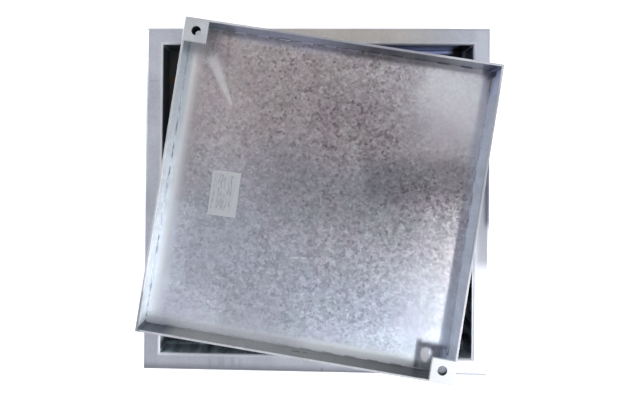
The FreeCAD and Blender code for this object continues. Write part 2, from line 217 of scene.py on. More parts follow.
class Recipe:
    """One node material. Each method adds nodes and returns their output."""

    def __init__(self, name):
        self.material = bpy.data.materials.new(name)
        self.material.use_nodes = True
        self.tree = self.material.node_tree
        self.shader = self.tree.nodes["Principled BSDF"]

    def feed(self, socket, value):
        """Links the socket to a node's output, or sets it to a plain value."""
        if isinstance(value, bpy.types.NodeSocket):
            self.tree.links.new(value, socket)
        else:
            socket.default_value = value

    def feed_colour(self, socket, value):
        self.feed(socket, value if isinstance(value, bpy.types.NodeSocket) else (*value, 1.0))

    def add(self, kind, inputs=None, **settings):
        node = self.tree.nodes.new("ShaderNode" + kind)
        for name, value in settings.items():
            setattr(node, name, value)
        for name, value in (inputs or {}).items():
            self.feed(node.inputs[name], value)
        return node

    def vector(self, operation, inputs):
        return self.add("VectorMath", inputs, operation=operation).outputs[0]

    def place(self, turn=0.0, middle=(0.0, 0.0), scale=(1.0, 1.0, 1.0)):
        """The place on the piece, in metres, along axes that are turned about Z."""
        spot = self.add("TexCoord").outputs["Object"]
        moved = self.vector("SUBTRACT", {0: spot, 1: (middle[0], middle[1], 0.0)})
        inputs = {"Vector": moved, "Angle": -turn}
        turned = self.add("VectorRotate", inputs, rotation_type="Z_AXIS").outputs[0]
        return self.vector("MULTIPLY", {0: turned, 1: scale})

    def math(self, operation, first, second=0.0, third=0.0):
        node = self.add("Math", {0: first, 1: second, 2: third}, operation=operation)
        return node.outputs[0]

    def product(self, first, *others):
        """All the values multiplied."""
        for other in others:
            first = self.math("MULTIPLY", first, other)
        return first

    def most(self, first, *others):
        """The largest of the values."""
        for other in others:
            first = self.math("MAXIMUM", first, other)
        return first

    def rest(self, share):
        """What the share leaves of 1."""
        return self.math("SUBTRACT", 1.0, share)

    def span(self, value, low, high, out_low=0.0, out_high=1.0, smooth=False):
        """Carries value from the span low..high to out_low..out_high, held at its ends."""
        inputs = {
            "Value": value,
            "From Min": low,
            "From Max": high,
            "To Min": out_low,
            "To Max": out_high,
        }
        kind = "SMOOTHSTEP" if smooth else "LINEAR"
        return self.add("MapRange", inputs, interpolation_type=kind).outputs["Result"]

    def noise(self, spot, scale, detail=2.0, roughness=0.5):
        inputs = {"Vector": spot, "Scale": scale, "Detail": detail, "Roughness": roughness}
        return self.add("TexNoise", inputs).outputs["Fac"]

    def jitter(self, spot, scale, reach):
        """The place, pushed about by up to half of reach, so that cells have ragged sides."""
        inputs = {"Vector": spot, "Scale": scale, "Detail": 2.0}
        push = self.add("TexNoise", inputs).outputs["Color"]
        level = self.vector("SUBTRACT", {0: push, 1: (0.5, 0.5, 0.5)})
        return self.vector("MULTIPLY_ADD", {0: level, 1: (reach, reach, reach), 2: spot})

    def cells(self, spot, scale):
        """A colour of its own for each crystal."""
        return self.add("TexVoronoi", {"Vector": spot, "Scale": scale}).outputs["Color"]

    def channel(self, colour, name="Red"):
        return self.add("SeparateColor", {"Color": colour}).outputs[name]

    def axis(self, spot, name):
        return self.add("SeparateXYZ", {"Vector": spot}).outputs[name]

    def reach(self, spot):
        """How far the place is from the upright axis, measured square."""
        across = self.math("ABSOLUTE", self.axis(spot, "X"))
        along = self.math("ABSOLUTE", self.axis(spot, "Y"))
        return self.most(across, along)

    def length(self, spot):
        return self.add("VectorMath", {0: spot}, operation="LENGTH").outputs["Value"]

    def blot(self, start, end, wide, narrow=None, on_tray_sides=True):
        """A soft streak from start to end, given in mm: 1 along its middle, 0 at its rim."""
        narrow = wide if narrow is None else narrow
        start, end = Vector(start) * MM, Vector(end) * MM
        way = end - start
        turn = math.atan2(way.y, way.x)
        middle = start
        if on_tray_sides:
            turn += TRAY_TURN
            middle = on_tray(start.x, start.y)
        spot = self.place(turn, middle, (1.0 / way.length, 1.0 / MM, 1.0))
        run = self.axis(spot, "X")
        half = self.span(run, 0.0, 1.0, wide / 2, narrow / 2)
        aside = self.math("DIVIDE", self.math("ABSOLUTE", self.axis(spot, "Y")), half)
        past = self.math("ABSOLUTE", self.math("SUBTRACT", run, 0.5))
        return self.product(
            self.span(aside, 0.2, 1.0, 1.0, 0.0, smooth=True),
            self.span(past, 0.38, 0.52, 1.0, 0.0, smooth=True),
        )

    def mix(self, share, first, second, blend="MIX"):
        """The first colour, with as much of the second as share says."""
        node = self.tree.nodes.new("ShaderNodeMix")
        node.data_type = "RGBA"
        node.blend_type = blend
        self.feed(node.inputs["Factor"], share)
        for socket, value in zip(MIX_INPUTS, (first, second)):
            self.feed_colour(node.inputs[socket], value)
        return node.outputs[MIX_OUTPUT]

    def scaled(self, colour, times):
        return self.vector("SCALE", {0: colour, "Scale": times})

    def tilt(self, colour, amount):
        """The surface's normal, leaned a little another way in each crystal."""
        level = self.vector("SUBTRACT", {0: colour, 1: (0.5, 0.5, 0.5)})
        normal = self.add("NewGeometry").outputs["Normal"]
        leaned = self.vector("ADD", {0: normal, 1: self.scaled(level, amount)})
        return self.vector("NORMALIZE", {0: leaned})

    def bump(self, height, distance, strength=1.0, normal=None):
        inputs = {"Height": height, "Distance": distance, "Strength": strength}
        if normal is not None:
            inputs["Normal"] = normal
        return self.add("Bump", inputs).outputs["Normal"]

    def finish(self, colour, roughness, normal=None, metallic=1.0):
        """Sets the shader's own sockets and returns the material."""
        self.feed_colour(self.shader.inputs["Base Color"], colour)
        self.feed(self.shader.inputs["Roughness"], roughness)
        self.feed(self.shader.inputs["Metallic"], metallic)
        if normal is not None:
            self.feed(self.shader.inputs["Normal"], normal)
        return self.material


def from_drilled_corner(recipe, sign, inset):
    """How far the place is, level, from the point at that inset in a drilled corner."""
    middle = on_tray(sign * inset, -sign * inset)
    return recipe.length(recipe.place(TRAY_TURN, middle, (1.0, 1.0, 0.0)))


def crystals(recipe, spot):
    """Crystals of three sizes: the colours of the middle ones, and the tone of all together."""
    ragged = recipe.jitter(spot, 320.0, 5.0 * MM)
    large = recipe.cells(ragged, 105.0)
    middle = recipe.cells(ragged, 210.0)
    small = recipe.cells(ragged, 430.0)
    tone = recipe.product(recipe.channel(middle), 0.45)
    tone = recipe.math("MULTIPLY_ADD", recipe.channel(large), 0.30, tone)
    return middle, recipe.math("MULTIPLY_ADD", recipe.channel(small), 0.25, tone)


def calm_zones(recipe, across, along):
    """Two corners and two edges where crystals hardly show, together, and the front edge alone."""
    back_corner = recipe.product(
        recipe.span(across, 0.095, 0.215, smooth=True),
        recipe.span(along, 0.050, 0.175, smooth=True),
    )
    front_corner = recipe.product(
        recipe.span(across, 0.120, 0.250, 0.0, 0.90, smooth=True),
        recipe.span(along, 0.020, -0.200, smooth=True),
    )
    front_edge = recipe.span(along, -0.225, -0.280, 0.0, 0.7, smooth=True)
    left_edge = recipe.span(across, -0.250, -0.269, smooth=True)
    return recipe.most(back_corner, front_corner, front_edge, left_edge), front_edge


def painted_plate_light(recipe, across, along, colour):
    """The colour with painted shade on the sheet below the drilled plates and painted pools of
    light below and beside them, and where these pools are.
    """
    scale = (1 / PAINTED_OVAL_HALVES[0], 1 / PAINTED_OVAL_HALVES[1], 0.0)
    away = recipe.length(recipe.place(0.0, on_tray(*PAINTED_OVAL_MIDDLE), scale))
    painted_pools = recipe.span(away, 1.10, 0.70, smooth=True)
    colour = recipe.mix(painted_pools, colour, PAINTED_LIGHT_POOL)
    start, full = UNDER_PLATE
    for sign in (-1, 1):
        below = recipe.product(
            recipe.span(across, sign * start, sign * full),
            recipe.span(along, -sign * start, -sign * full),
        )
        away = from_drilled_corner(recipe, sign, UNDER_HOLE[sign])
        radius = UNDER_HOLE_RADIUS[sign]
        lit = recipe.span(away, radius + UNDER_HOLE_BLUR, radius - UNDER_HOLE_BLUR)
        shade = recipe.product(below, recipe.rest(lit))
        colour = recipe.mix(shade, colour, UNDER_PLATE_PAINTED_SHADE[sign])
        painted_disc = recipe.product(below, lit)
        colour = recipe.mix(painted_disc, colour, PAINTED_LIGHT_POOL)
        painted_pools = recipe.most(painted_pools, painted_disc)
    return colour, painted_pools


def floor_zinc():
    """Galvanised sheet: fine ragged crystals, each with its own tone and lean."""
    recipe = Recipe("floor_zinc")
    spot = recipe.place(TRAY_TURN, TRAY_MIDDLE)
    across, along = recipe.axis(spot, "X"), recipe.axis(spot, "Y")
    cloud = recipe.noise(spot, 9.0, 3.0)
    crystal, tone = crystals(recipe, spot)
    calm, front_edge = calm_zones(recipe, across, along)
    lively = recipe.product(
        recipe.rest(calm),
        recipe.span(cloud, 0.3, 0.7, 0.70, 1.10),
        recipe.span(across, -0.09, -0.19, 1.0, 0.72, smooth=True),
    )
    depth = recipe.math("MULTIPLY_ADD", lively, 0.46, 0.10)
    # The calm zones are painted lighter: painted light
    level = recipe.math("MULTIPLY_ADD", calm, 0.15, 0.52)
    tone = recipe.math("MULTIPLY_ADD", recipe.math("SUBTRACT", tone, 0.5), depth, level)

    # A painted reflection, bluish in front and warmer behind, with brown flecks
    warm = recipe.math("MULTIPLY_ADD", along, 2.2, recipe.noise(spot, 5.0, 2.0))
    warm = recipe.span(warm, 0.2, 0.85)
    dark = recipe.mix(warm, (0.23, 0.24, 0.30), (0.27, 0.21, 0.22))
    light = recipe.mix(warm, (0.77, 0.80, 0.89), (0.79, 0.75, 0.77))
    colour = recipe.mix(recipe.span(tone, 0.18, 0.82), dark, light)
    behind = recipe.math("MULTIPLY_ADD", along, 1.6, cloud)
    fleck = recipe.product(
        recipe.span(recipe.channel(crystal, "Blue"), 0.86, 0.93),
        recipe.span(lively, 0.3, 1.0),
        recipe.span(behind, 0.25, 0.70, 0.15, 0.55),
    )
    colour = recipe.mix(fleck, colour, (0.13, 0.10, 0.12))
    tint = recipe.span(recipe.noise(spot, 22.0, 2.0), 0.38, 0.62)
    tint = recipe.mix(tint, (0.93, 1.0, 0.95), (1.0, 0.93, 1.0))
    colour = recipe.mix(0.35, colour, tint, "MULTIPLY")

    # Painted light and shade across the floor
    for start, end, wide, narrow, times in FLOOR_PAINTED_SHADING:
        blot = recipe.blot(start, end, wide, narrow)
        colour = recipe.scaled(colour, recipe.math("MULTIPLY_ADD", blot, times - 1.0, 1.0))
    for start, end, wide, narrow, share, mark in FLOOR_MARKS_AND_PAINTED_LIGHT:
        blot = recipe.blot(start, end, wide, narrow)
        colour = recipe.mix(recipe.product(blot, share), colour, mark)
    # A thin broken seam at the foot of the left bar
    seam = recipe.product(
        recipe.span(across, -0.2895, -0.2905),
        recipe.span(recipe.noise(spot, 70.0, 3.0), 0.50, 0.58),
        recipe.span(along, 0.23, 0.10, 0.20, 0.65),
    )
    colour = recipe.mix(seam, colour, JOINT_DIRT)
    # Painted shade below the plates, and painted pools of light below and beside them
    colour, painted_pools = painted_plate_light(recipe, across, along, colour)

    dull = recipe.blot((-310.0, 310.0), (-205.0, 205.0), 130.0)
    roughness = recipe.most(
        recipe.span(recipe.channel(crystal, "Green"), 0.0, 1.0, 0.18, 0.26),
        recipe.product(front_edge, 0.40),
        recipe.product(dull, 0.45),
    )
    even = recipe.most(calm, recipe.span(across, 0.150, 0.235, 0.0, 0.9, smooth=True))
    lean = recipe.tilt(crystal, recipe.math("MULTIPLY_ADD", even, -0.024, 0.030))
    grain = recipe.product(
        recipe.noise(spot, 500.0, 2.0),
        recipe.math("MULTIPLY_ADD", even, -0.8, 1.0),
    )
    normal = recipe.bump(grain, 0.12 * MM, 0.4, lean)
    # Less metal along the front foot, so that the painted light there reads as matt
    foot = recipe.product(
        recipe.span(along, -0.266, -0.284),
        recipe.span(across, 0.235, 0.215),
        0.62,
    )
    # The painted pools of light are matt white rather than metal
    metallic = recipe.math("MULTIPLY_ADD", recipe.most(painted_pools, foot), -0.9, 0.90)
    return recipe.finish(colour, roughness, normal, metallic)


def inner_side(recipe, spot, side):
    """1 on the inner face of the bar on that side and on the stitches at its foot."""
    inward = INWARD[side]
    away = recipe.axis(spot, "X" if inward[0] else "Y")
    sign = -(inward[0] or inward[1])
    return recipe.product(
        recipe.span(recipe.axis(spot, "Z"), RIM_TOP - 0.6 * MM, RIM_TOP - 1.4 * MM),
        recipe.span(away, sign * STITCH_START[0], sign * STITCH_START[1]),
        recipe.span(away, sign * BAR_INSIDE[0], sign * BAR_INSIDE[1]),
    )


def bar_painted_shading(recipe, spot):
    """The tones of the four bars' inner faces, as each changes along its bar: painted light and
    shade, lighter where a face is lit and darker where it is shaded.
    """
    across, along = recipe.axis(spot, "X"), recipe.axis(spot, "Y")
    pale = recipe.span(along, 0.24, -0.12)
    left = recipe.mix(pale, (0.33, 0.37, 0.40), (0.80, 0.85, 0.90))
    left = recipe.mix(recipe.span(along, 0.225, 0.245), left, (0.17, 0.20, 0.22))
    right = recipe.span(along, 0.25, 0.05)
    right = recipe.mix(right, (0.40, 0.45, 0.56), (0.58, 0.64, 0.74))
    back = recipe.span(across, -0.06, 0.06)
    back = recipe.mix(back, (0.29, 0.31, 0.40), (0.036, 0.040, 0.058))
    back = recipe.mix(recipe.span(across, 0.19, 0.275), back, (0.135, 0.180, 0.255))
    back = recipe.mix(recipe.span(across, -0.200, -0.230), back, (0.115, 0.155, 0.19))
    front = recipe.span(across, -0.225, -0.250)
    front = recipe.mix(front, (0.335, 0.34, 0.325), (0.10, 0.12, 0.15))
    front = recipe.mix(recipe.span(across, -0.06, 0.24), front, (0.070, 0.073, 0.076))
    return {"left": left, "right": right, "back": back, "front": front}


def bar_zinc():
    """Hot-dipped flat bar: a cloudy satin skin with faint runs down its faces, and painted light
    and shade on its inner faces.
    """
    recipe = Recipe("bar_zinc")
    spot = recipe.place(TRAY_TURN, TRAY_MIDDLE)
    cloud = recipe.noise(spot, 28.0, 4.0, 0.6)
    flowing = recipe.place(TRAY_TURN, TRAY_MIDDLE, (1.0, 1.0, 0.12))
    runs = recipe.noise(flowing, 160.0, 3.0, 0.6)
    tone = recipe.math("MULTIPLY_ADD", cloud, 0.6, recipe.product(runs, 0.4))
    colour = (0.64, 0.645, 0.675)
    # Painted light and shade on each bar's inner face
    for side, bar in bar_painted_shading(recipe, spot).items():
        colour = recipe.mix(inner_side(recipe, spot, side), colour, bar)
    colour = recipe.scaled(colour, recipe.span(tone, 0.32, 0.68, 0.82, 1.15))
    height = recipe.axis(spot, "Z")
    for start, end, wide, share, mark, low, high in BAR_MARKS_AND_PAINTED_LIGHT:
        shown = recipe.product(
            recipe.blot(start, end, wide),
            recipe.span(height, FLOOR_TOP + low * MM, FLOOR_TOP + (low + MARK_BLUR) * MM),
            recipe.span(height, FLOOR_TOP + high * MM, FLOOR_TOP + (high - MARK_BLUR) * MM),
            share,
        )
        colour = recipe.mix(shown, colour, mark)
    roughness = recipe.span(cloud, 0.3, 0.7, 0.30, 0.42)
    return recipe.finish(colour, roughness, recipe.bump(tone, 0.3 * MM, 0.4), metallic=0.35)


def face_colour(recipe, spot, cloud, outer, front_right):
    """The frame's top face and its edges: bluish zinc, warmer behind the tray, with painted
    highlights and shade on its folds.
    """
    across, along = recipe.axis(spot, "X"), recipe.axis(spot, "Y")
    reach = recipe.reach(spot)
    fine = recipe.channel(recipe.cells(recipe.jitter(spot, 200.0, 6.0 * MM), 260.0))
    tone = recipe.math("MULTIPLY_ADD", cloud, 0.85, recipe.product(fine, 0.15))
    warm = recipe.product(
        recipe.span(along, 0.28, 0.31),
        recipe.span(across, 0.28, 0.16),
        recipe.span(across, -0.24, -0.16),
    )
    dark = recipe.mix(warm, (0.56, 0.58, 0.65), (0.59, 0.555, 0.525))
    light = recipe.mix(warm, (0.70, 0.72, 0.79), (0.73, 0.69, 0.65))
    colour = recipe.mix(recipe.span(tone, 0.3, 0.7), dark, light)

    # The fold round the opening and the fold along the outer edges, in painted highlights and shade
    back_left = recipe.product(
        recipe.span(across, -0.25, -0.29),
        recipe.span(along, -0.02, 0.05),
    )
    # Painted highlights and shade on the inner fold: darker behind, white at the back left and
    # front right
    rim = recipe.mix(recipe.span(along, 0.0, 0.05), (0.66, 0.67, 0.71), (0.22, 0.22, 0.25))
    rim = recipe.mix(recipe.most(back_left, front_right), rim, (1.0, 1.0, 1.0))
    colour = recipe.mix(recipe.span(reach, 0.3048, 0.3018, 0.0, 0.9), colour, rim)
    # Painted shade on the outer fold along the front
    edge = recipe.product(
        recipe.span(along, -0.25, -0.32, 0.50, 0.85),
        recipe.span(across, -0.332, -0.328),
        recipe.span(recipe.math("SUBTRACT", across, along), 0.58, 0.46),
        outer,
    )
    colour = recipe.mix(edge, colour, (0.30, 0.31, 0.34))

    for start, end, wide, share, mark in FRAME_PAINTED_LIGHT_AND_MARKS:
        blot = recipe.blot(start, end, wide, on_tray_sides=False)
        colour = recipe.mix(recipe.product(blot, share), colour, mark)
    streaks = recipe.product(
        recipe.span(recipe.noise(recipe.place(scale=(1.0, 0.04, 1.0)), 240.0), 0.52, 0.62),
        recipe.blot((-212.0, -321.0), (-135.0, -321.0), 40.0, on_tray_sides=False),
        0.35,
    )
    return recipe.mix(streaks, colour, (0.36, 0.36, 0.42))


def opening_painted_shading(recipe, spot):
    """The frame's walls and ledge inside the opening, where the light hardly reaches: painted
    shade, near black, with painted light on parts of the walls and a painted brown reflection.
    """
    across, along, height = [recipe.axis(spot, name) for name in "XYZ"]
    patch = recipe.noise(recipe.place(scale=(1.0, 1.0, 0.2)), 60.0, 3.0)
    # Painted light: the back wall on the right, the front wall, the right wall and the left wall
    # near the front
    slate = recipe.product(
        recipe.span(along, 0.292, 0.297),
        recipe.span(across, 0.277, 0.265),
        recipe.span(across, 0.0, 0.10),
    )
    teal = recipe.product(
        recipe.span(along, -0.292, -0.297),
        recipe.span(patch, 0.35, 0.65, 0.3, 1.0),
    )
    streak = recipe.product(
        recipe.span(across, 0.292, 0.297),
        recipe.span(patch, 0.40, 0.60),
    )
    # Painted brown reflection low down on the left
    painted_brown_reflection = recipe.product(
        recipe.span(across, -0.20, -0.25),
        recipe.span(along, 0.10, 0.20),
        recipe.span(height, 10.0 * MM, 6.0 * MM),
        recipe.span(patch, 0.42, 0.58),
    )
    pale = recipe.product(
        recipe.span(across, -0.292, -0.297),
        recipe.span(along, -0.10, -0.20),
        recipe.span(along, -0.283, -0.270),
    )
    # Painted shade: near black, a little lighter on the left
    deep = recipe.span(across, -0.20, -0.26)
    deep = recipe.mix(deep, (0.022, 0.027, 0.034), (0.070, 0.082, 0.095))
    deep = recipe.mix(slate, deep, (0.58, 0.64, 0.92))
    deep = recipe.mix(teal, deep, (0.48, 0.60, 0.66))
    deep = recipe.mix(streak, deep, (0.28, 0.31, 0.38))
    deep = recipe.mix(painted_brown_reflection, deep, (0.11, 0.080, 0.056))
    return recipe.mix(pale, deep, (0.50, 0.55, 0.60))


def frame_zinc():
    """Folded sheet of the frame: even zinc with slow clouds, duller at its edges, with painted
    light and shade on its folds and inside the opening.
    """
    recipe = Recipe("frame_zinc")
    spot = recipe.place()
    across, along, height = [recipe.axis(spot, name) for name in "XYZ"]
    reach = recipe.reach(spot)
    cloud = recipe.noise(spot, 14.0, 4.0, 0.55)
    outer = recipe.span(reach, 0.3302, 0.3315)
    front_right = recipe.product(
        recipe.span(across, 0.25, 0.29),
        recipe.span(along, -0.10, -0.15),
    )
    face = recipe.most(
        recipe.span(reach, 0.3000, 0.3010),
        recipe.span(height, FRAME_TOP - 5.0 * MM, FRAME_TOP - 1.0 * MM),
    )
    top = face_colour(recipe, spot, cloud, outer, front_right)
    # Painted shade and light inside the opening, below the top face
    colour = recipe.mix(face, opening_painted_shading(recipe, spot), top)
    rim = recipe.product(
        recipe.span(reach, 0.3058, 0.3044),
        face,
        recipe.rest(front_right),
    )
    shaded = recipe.product(
        recipe.most(
            recipe.span(across, -0.20, -0.26),
            recipe.span(along, -0.292, -0.297),
        ),
        recipe.rest(face),
    )
    metallic = recipe.math("MULTIPLY_ADD", recipe.most(shaded, rim, outer), -0.8, 0.9)
    roughness = recipe.span(cloud, 0.3, 0.7, 0.32, 0.40)
    normal = recipe.bump(recipe.noise(spot, 90.0, 3.0), 0.3 * MM, 0.3)
    recipe.shader.inputs["Specular IOR Level"].default_value = 0.1
    return recipe.finish(colour, roughness, normal, metallic)


def plate_zinc():
    """Corner plates: pale zinc with a faint grain, the right plate painted lighter as the light
    falls, with painted shade inside their holes.
    """
    recipe = Recipe("plate_zinc")
    spot = recipe.place(TRAY_TURN, TRAY_MIDDLE)
    grain = recipe.noise(spot, 420.0, 4.0, 0.7)
    cloud = recipe.noise(spot, 60.0, 2.0)
    tone = recipe.math("MULTIPLY_ADD", grain, 0.5, recipe.product(cloud, 0.5))
    tone = recipe.span(tone, 0.35, 0.65)
    # Painted light: the right plate lighter than the left
    left = recipe.mix(tone, (0.55, 0.56, 0.58), (0.65, 0.66, 0.68))
    right = recipe.mix(tone, (0.76, 0.77, 0.79), (0.84, 0.85, 0.87))
    colour = recipe.mix(recipe.span(recipe.axis(spot, "X"), -0.1, 0.1), left, right)
    # Painted shade inside the holes
    for sign in (-1, 1):
        away = from_drilled_corner(recipe, sign, HOLE_CENTRE)
        colour = recipe.mix(recipe.span(away, *HOLE_RIM), colour, HOLE_PAINTED_SHADE)
    roughness = recipe.span(cloud, 0.3, 0.7, 0.44, 0.54)
    return recipe.finish(colour, roughness, recipe.bump(grain, 0.3 * MM, 0.4), metallic=0.7)


def weld_zinc():
    """Zinc over weld metal, in the painted light and shade of the bar beside it, dark along some of
    the toes.
    """
    recipe = Recipe("weld_zinc")
    spot = recipe.place(TRAY_TURN, TRAY_MIDDLE)
    toe = recipe.add("Attribute", attribute_name="toe").outputs["Fac"]
    mottle = recipe.noise(spot, 300.0, 3.0, 0.7)
    colour = recipe.mix(mottle, (0.30, 0.32, 0.36), (0.48, 0.50, 0.56))
    height = recipe.axis(spot, "Z")
    for side, bar in bar_painted_shading(recipe, spot).items():
        scale, sheet, least = BEAD_TONES[side]
        toned = recipe.scaled(bar, scale)
        if sheet:
            low = recipe.span(height, FLOOR_TOP + 2.0 * MM, FLOOR_TOP + 0.4 * MM, least, 0.8)
            toned = recipe.mix(low, toned, sheet)
        colour = recipe.mix(inner_side(recipe, spot, side), colour, toned)
    patch = recipe.noise(spot, 70.0, 2.0)
    edge = recipe.product(
        recipe.most(toe, 0.5),
        recipe.span(patch, 0.47, 0.58, 0.0, 1.1),
        recipe.span(recipe.axis(spot, "X"), -0.27, -0.28, 0.15, 1.0),
        recipe.span(recipe.axis(spot, "Y"), 0.23, 0.10, 0.4, 1.0),
    )
    colour = recipe.mix(recipe.span(edge, 0.0, 1.0, 0.0, 0.8), colour, JOINT_DIRT)
    return recipe.finish(colour, 0.55, recipe.bump(mottle, 0.2 * MM, 0.5), metallic=0.3)


def label_reach():
    """The sticker's corners along the tray's own sides."""
    places = [from_tray(vertex.co) for vertex in frame["nodes"]["floor_label"].data.vertices]
    low = Vector([min(place[i] for place in places) for i in range(3)])
    high = Vector([max(place[i] for place in places) for i in range(3)])
    return low, high


def label_paper():
    """The sticker: matt paper with faint plain lines along its long side."""
    recipe = Recipe("label_paper")
    low, high = label_reach()
    spot = recipe.place(TRAY_TURN, TRAY_MIDDLE)
    across = recipe.span(recipe.axis(spot, "X"), low.x, high.x)
    along = recipe.span(recipe.axis(spot, "Y"), low.y, high.y)
    rows = recipe.noise(recipe.place(TRAY_TURN, TRAY_MIDDLE, (1.0, 0.03, 1.0)), 330.0)
    broken = recipe.noise(recipe.place(TRAY_TURN, TRAY_MIDDLE, (4.0, 1.0, 1.0)), 90.0)
    ink = recipe.product(
        recipe.span(rows, 0.44, 0.54),
        recipe.span(broken, 0.42, 0.52),
        recipe.span(along, 0.12, 0.15),
        recipe.span(along, 0.93, 0.90),
        recipe.span(across, 0.08, 0.12),
        recipe.span(across, 0.90, 0.86),
        0.60,
    )
    fibre = recipe.noise(spot, 700.0, 3.0)
    paper = recipe.mix(fibre, (0.42, 0.425, 0.44), (0.53, 0.535, 0.55))
    colour = recipe.mix(ink, paper, (0.20, 0.21, 0.23))
    return recipe.finish(colour, 0.6, recipe.bump(fibre, 0.05 * MM, 0.4), metallic=0.0)


MATERIALS = {
    "frame_zinc": frame_zinc(),
    "weld_zinc": weld_zinc(),
    "bar_zinc": bar_zinc(),
    "floor_zinc": floor_zinc(),
    "plate_zinc": plate_zinc(),
    "label_paper": label_paper(),
}


def dress_nodes():
    """Gives each carried-over node the material of its slot."""
    for entry in frame["record"]["subparts"]:
        node = frame["nodes"][entry["node"]]
        node.data.materials.clear()
        node.data.materials.append(MATERIALS[entry["material_slot"]])


def islands(node):
    """The separate solids of a node, from left to right, each as a list of its points."""
    mesh = bmesh.new()
    mesh.from_mesh(frame["nodes"][node].data)
    bmesh.ops.remove_doubles(mesh, verts=mesh.verts, dist=0.01 * MM)
    left = set(mesh.verts)
    found = []
    while left:
        group, edge = set(), [left.pop()]
        while edge:
            vertex = edge.pop()
            group.add(vertex)
            near = {link.other_vert(vertex) for link in vertex.link_edges} & left
            left -= near
            edge.extend(near)
        found.append([vertex.co.copy() for vertex in group])
    mesh.free()
    return sorted(found, key=lambda points: min(point.x for point in points))


RIPPLE_PITCH = 2.3 * MM
RIPPLE_LAG = 0.9 * MM
BEAD_STEP = 0.45 * MM
BEAD_LEAST_STEPS = 8
BEAD_ANGLES = 8
BEAD_WAVES = 6
WAVE_TURNS = 1.7
RIPPLE_MEAN = 0.6
# As shares of a bead's leg: how far its toes reach, how much less its face does, the height of
# its ripples and of its slow changes, the length of its rounded ends and of the toes there
TOE_REACH = 0.95
FACE_DIP = 0.17
RIPPLE_RISE = 0.07
WAVE_RISE = 0.05
END_ROUND = 1.1
END_TOE = 0.8
# How blunt the ends are, and how far up the face the toes show
END_POWER = 0.7
TOE_SHARE = 0.45


def add_bead(mesh, toe, start, end, first, second, leg):
    """A rippled bead in the corner from start to end, with its toes along first and second."""
    length = (end - start).length
    steps = max(int(length / BEAD_STEP), BEAD_LEAST_STEPS)
    shift = random.uniform(0.0, RIPPLE_PITCH)
    wander = [random.uniform(-1.0, 1.0) for _ in range(BEAD_WAVES)]
    rings = []
    for step in range(steps + 1):
        run = step / steps * length
        near = min(run, length - run)
        crown = math.sin(min(near / (END_ROUND * leg), 1.0) * math.pi / 2) ** END_POWER
        slow = 0.0
        for k in range(BEAD_WAVES):
            slow += wander[k] * math.sin((k + 1) * run / length * math.pi * WAVE_TURNS + k)
        slow /= 2 * BEAD_WAVES
        root = start.lerp(end, step / steps)
        ring = []
        for turn in range(BEAD_ANGLES + 1):
            angle = turn / BEAD_ANGLES * math.pi / 2
            belly = math.sin(2 * angle)
            phase = (run + shift - RIPPLE_LAG * belly) / RIPPLE_PITCH
            ripple = abs(math.sin(phase * math.pi)) - RIPPLE_MEAN
            share = TOE_REACH - FACE_DIP * belly + RIPPLE_RISE * ripple + WAVE_RISE * slow
            reach = leg * crown * share
            spot = root + first * reach * math.cos(angle)
            vertex = mesh.verts.new(spot + second * reach * math.sin(angle))
            at_side = 1.0 - min(belly / TOE_SHARE, 1.0)
            at_end = 1.0 - min(near / (END_TOE * leg), 1.0)
            vertex[toe] = max(at_side, at_end)
            ring.append(vertex)
        ring.append(mesh.verts.new(root))
        rings.append(ring)
    count = len(rings[0])
    for one, other in zip(rings, rings[1:]):
        for k in range(count):
            mesh.faces.new((one[k], one[(k + 1) % count], other[(k + 1) % count], other[k]))
    mesh.faces.new(rings[0][::-1])
    mesh.faces.new(rings[-1])


def make_piece(name, mesh, slot, replaced, smooth=True):
    """Turns a bmesh into a piece with the material of its slot, which stands for plain nodes."""
    bmesh.ops.recalc_face_normals(mesh, faces=mesh.faces)
    data = bpy.data.meshes.new(name)
    mesh.to_mesh(data)
    mesh.free()
    for face in data.polygons:
        face.use_smooth = smooth
    piece = bpy.data.objects.new(name, data)
    bpy.context.scene.collection.objects.link(piece)
    data.materials.append(MATERIALS[slot])
    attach(piece, "root")
    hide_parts(*replaced)


def direction(x, y):
    """A level direction given along the tray's own sides."""
    return (on_tray(x, y) - on_tray(0.0, 0.0)).normalized()


def stitch_beads(side):
    """One bead for each stitch at the foot of a bar."""
    mesh = bmesh.new()
    toe = mesh.verts.layers.float.new("toe")
    inward = INWARD[side]
    axis = 0 if inward[0] == 0 else 1
    other = 1 - axis
    pick = min if inward[other] > 0 else max
    for solid in islands("stitch_welds_" + side):
        places = [from_tray(point) for point in solid]
        runs = [place[axis] for place in places]
        asides = [place[other] for place in places]
        level = min(place.z for place in places)
        ends = []
        for run in (min(runs), max(runs)):
            spot = [0.0, 0.0]
            spot[axis], spot[other] = run, pick(asides)
            ends.append(on_tray(spot[0], spot[1], level))
        leg = max(asides) - min(asides)
        add_bead(mesh, toe, ends[0], ends[1], direction(*inward), UP, leg)
    make_piece("stitch_beads_" + side, mesh, "weld_zinc", ["stitch_welds_" + side])


